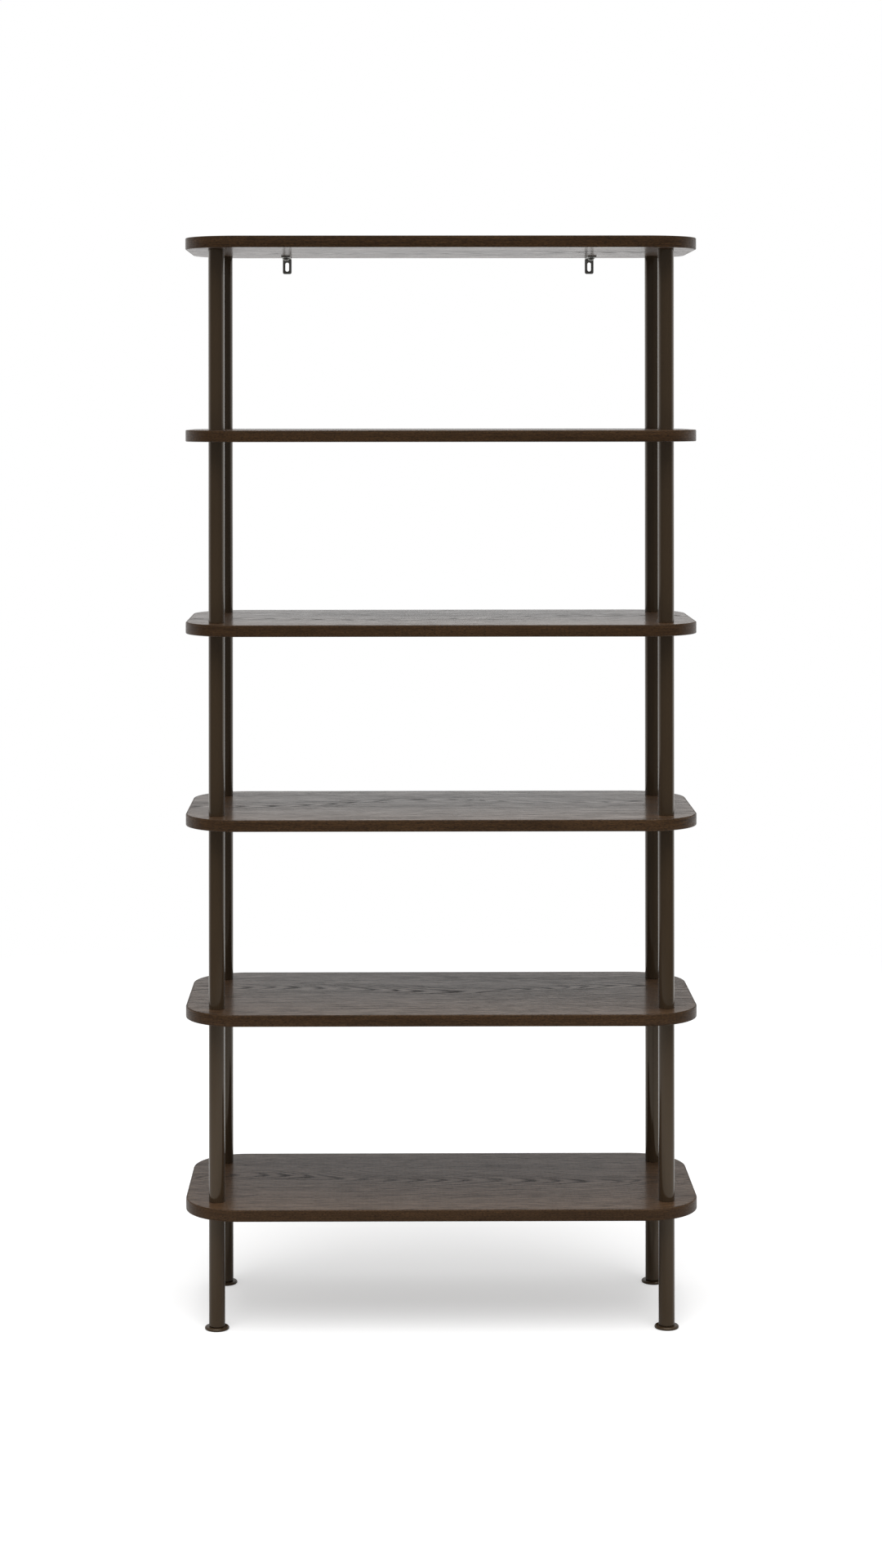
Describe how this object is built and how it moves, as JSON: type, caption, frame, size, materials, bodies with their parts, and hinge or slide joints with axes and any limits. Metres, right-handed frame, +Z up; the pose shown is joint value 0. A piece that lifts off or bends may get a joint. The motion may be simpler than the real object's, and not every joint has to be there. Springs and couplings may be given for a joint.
{
  "type": "shelving unit",
  "caption": "Open shelving unit: round-cornered stained oak boards on columns of round bronze tube, with levelling feet and slotted wall brackets.",
  "frame": {"origin": "on the floor under the middle of the boards", "axes": "+X to the right seen from the front, +Y from the front to the back, +Z up"},
  "size_m": [0.8, 0.35, 1.6985],
  "materials": {
    "stained_oak": "dark smoked oak veneer with a satin lacquer, and an oak edge band",
    "bronze_paint": "semi-gloss dark bronze powder coat",
    "zinc_plate": "bright zinc plate on steel"
  },
  "bodies": {
    "shelf_frame": {"shelf_1": "stained_oak", "shelf_2": "stained_oak", "shelf_3": "stained_oak", "shelf_4": "stained_oak", "shelf_5": "stained_oak", "shelf_6": "stained_oak", "leg_front_left": "bronze_paint", "stud_front_left_1": "zinc_plate", "post_front_left_1": "bronze_paint", "stud_front_left_2": "zinc_plate", "post_front_left_2": "bronze_paint", "stud_front_left_3": "zinc_plate", "post_front_left_3": "bronze_paint", "stud_front_left_4": "zinc_plate", "post_front_left_4": "bronze_paint", "stud_front_left_5": "zinc_plate", "post_front_left_5": "bronze_paint", "leg_front_right": "bronze_paint", "stud_front_right_1": "zinc_plate", "post_front_right_1": "bronze_paint", "stud_front_right_2": "zinc_plate", "post_front_right_2": "bronze_paint", "stud_front_right_3": "zinc_plate", "post_front_right_3": "bronze_paint", "stud_front_right_4": "zinc_plate", "post_front_right_4": "bronze_paint", "stud_front_right_5": "zinc_plate", "post_front_right_5": "bronze_paint", "leg_rear_left": "bronze_paint", "stud_rear_left_1": "zinc_plate", "post_rear_left_1": "bronze_paint", "stud_rear_left_2": "zinc_plate", "post_rear_left_2": "bronze_paint", "stud_rear_left_3": "zinc_plate", "post_rear_left_3": "bronze_paint", "stud_rear_left_4": "zinc_plate", "post_rear_left_4": "bronze_paint", "stud_rear_left_5": "zinc_plate", "post_rear_left_5": "bronze_paint", "leg_rear_right": "bronze_paint", "stud_rear_right_1": "zinc_plate", "post_rear_right_1": "bronze_paint", "stud_rear_right_2": "zinc_plate", "post_rear_right_2": "bronze_paint", "stud_rear_right_3": "zinc_plate", "post_rear_right_3": "bronze_paint", "stud_rear_right_4": "zinc_plate", "post_rear_right_4": "bronze_paint", "stud_rear_right_5": "zinc_plate", "post_rear_right_5": "bronze_paint", "bracket_washer_left": "zinc_plate", "bracket_screw_left": "zinc_plate", "bracket_washer_right": "zinc_plate", "bracket_screw_right": "zinc_plate"},
    "foot_front_left": {"foot_front_left": "bronze_paint"},
    "foot_front_right": {"foot_front_right": "bronze_paint"},
    "foot_rear_left": {"foot_rear_left": "bronze_paint"},
    "foot_rear_right": {"foot_rear_right": "bronze_paint"},
    "wall_bracket_left": {"wall_bracket_left": "zinc_plate"},
    "wall_bracket_right": {"wall_bracket_right": "zinc_plate"}
  },
  "joints": [
    {"name": "foot_front_left_screw", "type": "slide", "parent": "shelf_frame", "child": "foot_front_left", "axis": [0, 0, -1], "range_m": [0, 0.01]},
    {"name": "foot_front_right_screw", "type": "slide", "parent": "shelf_frame", "child": "foot_front_right", "axis": [0, 0, -1], "range_m": [0, 0.01]},
    {"name": "foot_rear_left_screw", "type": "slide", "parent": "shelf_frame", "child": "foot_rear_left", "axis": [0, 0, -1], "range_m": [0, 0.01]},
    {"name": "foot_rear_right_screw", "type": "slide", "parent": "shelf_frame", "child": "foot_rear_right", "axis": [0, 0, -1], "range_m": [0, 0.01]},
    {"name": "wall_bracket_left_slide", "type": "slide", "parent": "shelf_frame", "child": "wall_bracket_left", "axis": [0, 1, 0], "range_m": [0, 0.02]},
    {"name": "wall_bracket_right_slide", "type": "slide", "parent": "shelf_frame", "child": "wall_bracket_right", "axis": [0, 1, 0], "range_m": [0, 0.02]}
  ]
}
